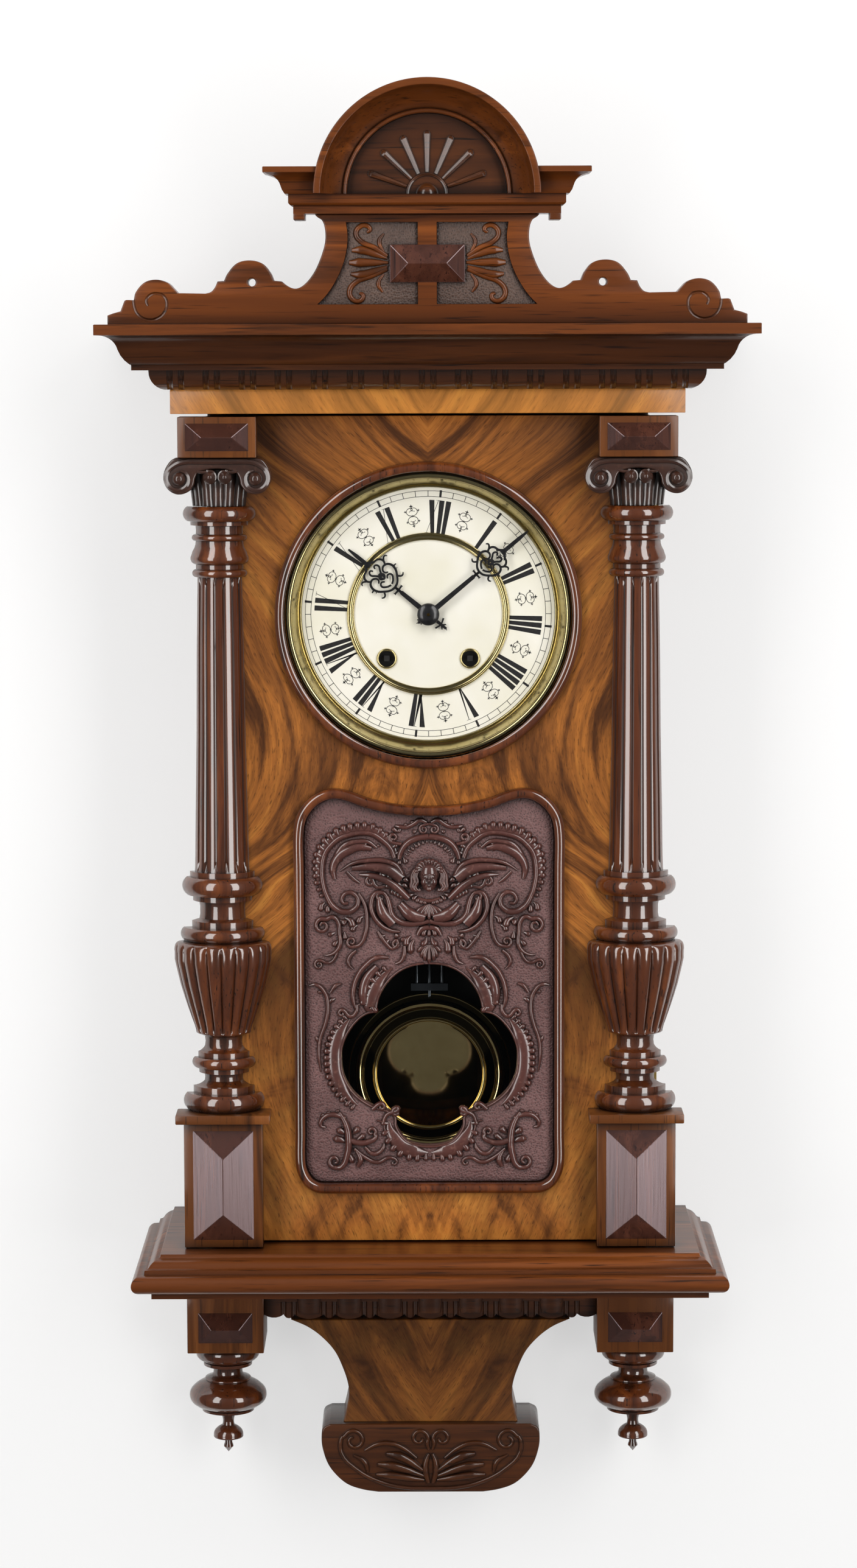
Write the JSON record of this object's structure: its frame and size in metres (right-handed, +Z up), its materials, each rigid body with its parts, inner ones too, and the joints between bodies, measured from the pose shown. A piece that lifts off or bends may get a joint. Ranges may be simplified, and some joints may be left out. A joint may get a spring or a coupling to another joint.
{
  "type": "vienna regulator clock",
  "caption": "Spring-driven pendulum wall clock in an upright walnut case with arched crest, half-columns, round dial and a hinged door over a swinging pendulum.",
  "frame": {"origin": "centre of the hook hole in the hanging plate, on the wall plane", "axes": "+Z up, +Y into the wall, so the clock's front looks along -Y, +X to the viewer's right"},
  "size_m": [0.4314, 0.182, 0.9713],
  "materials": {
    "moulding_walnut": "polished dark walnut mouldings and turnings",
    "carved_walnut": "matt stained carving",
    "veneer_walnut": "french polished burr walnut veneer",
    "block_walnut": "polished dark walnut",
    "facet_walnut": "polished diamond-cut walnut",
    "case_pine": "stained softwood",
    "clear_glass": "clear flat glass",
    "dial_enamel": "cream-white dial with plain Roman hour numerals",
    "polished_brass": "polished lacquered brass",
    "movement_brass": "brushed brass",
    "bright_steel": "ground steel",
    "black_iron": "black painted cast iron",
    "black_hands": "blackened steel"
  },
  "bodies": {
    "case": {"back_board": "case_pine", "case_sides": "case_pine", "hanger_plate": "bright_steel", "frieze": "veneer_walnut", "fluted_band": "moulding_walnut", "cornice": "moulding_walnut", "crest_board": "carved_walnut", "crest_cornice": "moulding_walnut", "crest_arch": "moulding_walnut", "sunburst": "carved_walnut", "base_moulding": "moulding_walnut", "lower_blocks": "block_walnut", "lower_rail": "moulding_walnut", "apron_neck": "carved_walnut", "apron_tail": "carved_walnut", "finials": "moulding_walnut", "case_pyramids": "facet_walnut", "hinge_case_leaves": "movement_brass", "dial_plate": "dial_enamel", "dial_surround": "polished_brass", "dial_rings": "polished_brass", "movement_plates": "movement_brass", "movement_brackets": "black_iron", "suspension_cock": "movement_brass", "gong_coil": "bright_steel", "gong_block": "case_pine"},
    "door": {"door_panel": "veneer_walnut", "ring_moulding": "moulding_walnut", "dial_glass": "clear_glass", "lower_frame": "moulding_walnut", "carved_panel": "carved_walnut", "pendulum_glass": "clear_glass", "half_columns": "moulding_walnut", "capitals": "carved_walnut", "top_blocks": "block_walnut", "pedestals": "block_walnut", "door_pyramids": "facet_walnut", "hinge_door_leaves": "movement_brass"},
    "minute": {"centre_arbor": "movement_brass", "cannon_pinion": "movement_brass", "minute_hand": "black_hands"},
    "minute_wheel": {"minute_wheel": "movement_brass"},
    "hour": {"hour_wheel": "movement_brass", "hour_hand": "black_hands"},
    "third": {"third_arbor": "movement_brass"},
    "escape": {"escape_arbor": "movement_brass"},
    "second": {"second_arbor": "movement_brass"},
    "barrel_time": {"barrel_time": "movement_brass"},
    "barrel_strike": {"barrel_strike": "movement_brass"},
    "winding_time": {"winding_arbor_time": "bright_steel"},
    "winding_strike": {"winding_arbor_strike": "bright_steel"},
    "click_time": {"click_time": "bright_steel"},
    "click_strike": {"click_strike": "bright_steel"},
    "pin_wheel": {"pin_wheel_arbor": "movement_brass"},
    "warning": {"warning_arbor": "movement_brass"},
    "fly": {"fly_arbor": "movement_brass"},
    "anchor": {"anchor_and_crutch": "bright_steel"},
    "pendulum": {"pendulum_rods": "movement_brass", "pendulum_bob": "polished_brass"},
    "hammer": {"hammer": "bright_steel"}
  },
  "joints": [
    {"name": "door_hinge", "type": "hinge", "parent": "case", "child": "door", "pos_m": [0.1516, -0.094, -0.3], "axis": [0, 0, 1], "range_deg": [0, 105]},
    {"name": "minute_turn", "type": "hinge", "parent": "case", "child": "minute", "pos_m": [0, -0.08, -0.165], "axis": [0, 1, 0], "continuous": true},
    {"name": "minute_wheel_turn", "type": "hinge", "parent": "case", "child": "minute_wheel", "pos_m": [-0.00722, -0.092, -0.17458], "axis": [0, 1, 0], "continuous": true},
    {"name": "hour_turn", "type": "hinge", "parent": "case", "child": "hour", "pos_m": [0, -0.095, -0.165], "axis": [0, 1, 0], "continuous": true},
    {"name": "third_turn", "type": "hinge", "parent": "case", "child": "third", "pos_m": [-0.00779, -0.07, -0.15011], "axis": [0, 1, 0], "continuous": true},
    {"name": "escape_turn", "type": "hinge", "parent": "case", "child": "escape", "pos_m": [0, -0.07, -0.138], "axis": [0, 1, 0], "continuous": true},
    {"name": "second_turn", "type": "hinge", "parent": "case", "child": "second", "pos_m": [0.01714, -0.07, -0.16854], "axis": [0, 1, 0], "continuous": true},
    {"name": "barrel_time_turn", "type": "hinge", "parent": "case", "child": "barrel_time", "pos_m": [0.028, -0.07, -0.195], "axis": [0, 1, 0], "continuous": true},
    {"name": "pin_wheel_turn", "type": "hinge", "parent": "case", "child": "pin_wheel", "pos_m": [-0.03, -0.07, -0.16647], "axis": [0, 1, 0], "continuous": true},
    {"name": "barrel_strike_turn", "type": "hinge", "parent": "case", "child": "barrel_strike", "pos_m": [-0.028, -0.07, -0.195], "axis": [0, 1, 0], "continuous": true},
    {"name": "warning_turn", "type": "hinge", "parent": "case", "child": "warning", "pos_m": [-0.02474, -0.07, -0.1503], "axis": [0, 1, 0], "continuous": true},
    {"name": "fly_turn", "type": "hinge", "parent": "case", "child": "fly", "pos_m": [-0.03245, -0.07, -0.14008], "axis": [0, 1, 0], "continuous": true},
    {"name": "winding_time_turn", "type": "hinge", "parent": "case", "child": "winding_time", "pos_m": [0.028, -0.07, -0.195], "axis": [0, 1, 0], "continuous": true},
    {"name": "winding_strike_turn", "type": "hinge", "parent": "case", "child": "winding_strike", "pos_m": [-0.028, -0.07, -0.195], "axis": [0, 1, 0], "continuous": true},
    {"name": "click_time_swing", "type": "hinge", "parent": "case", "child": "click_time", "pos_m": [0.0401, -0.0918, -0.1926], "axis": [0, 1, 0], "range_deg": [-8, 12], "stiffness_Nm_per_rad": 0.002},
    {"name": "click_strike_swing", "type": "hinge", "parent": "case", "child": "click_strike", "pos_m": [-0.0159, -0.0918, -0.1926], "axis": [0, 1, 0], "range_deg": [-8, 12], "stiffness_Nm_per_rad": 0.002},
    {"name": "pendulum_swing", "type": "hinge", "parent": "case", "child": "pendulum", "pos_m": [0, -0.036, -0.124], "axis": [0, 1, 0], "range_deg": [-2.5, 2.5]},
    {"name": "anchor_swing", "type": "hinge", "parent": "case", "child": "anchor", "pos_m": [0, -0.07, -0.124], "axis": [0, 1, 0], "range_deg": [-2.5, 2.5]},
    {"name": "hammer_swing", "type": "hinge", "parent": "case", "child": "hammer", "pos_m": [-0.03, -0.044, -0.183], "axis": [0, 1, 0], "range_deg": [-5, 15]}
  ],
  "couplings": [
    {"joint": "hour_turn", "follows": "minute_turn", "ratio": 0.083333},
    {"joint": "minute_wheel_turn", "follows": "minute_turn", "ratio": -0.33333},
    {"joint": "third_turn", "follows": "minute_turn", "ratio": -9},
    {"joint": "escape_turn", "follows": "minute_turn", "ratio": 99},
    {"joint": "second_turn", "follows": "minute_turn", "ratio": -0.16667},
    {"joint": "barrel_time_turn", "follows": "minute_turn", "ratio": 0.021368},
    {"joint": "barrel_strike_turn", "follows": "pin_wheel_turn", "ratio": -0.12821},
    {"joint": "warning_turn", "follows": "pin_wheel_turn", "ratio": -7.5},
    {"joint": "fly_turn", "follows": "pin_wheel_turn", "ratio": 52.5},
    {"joint": "anchor_swing", "follows": "pendulum_swing", "ratio": 1}
  ]
}
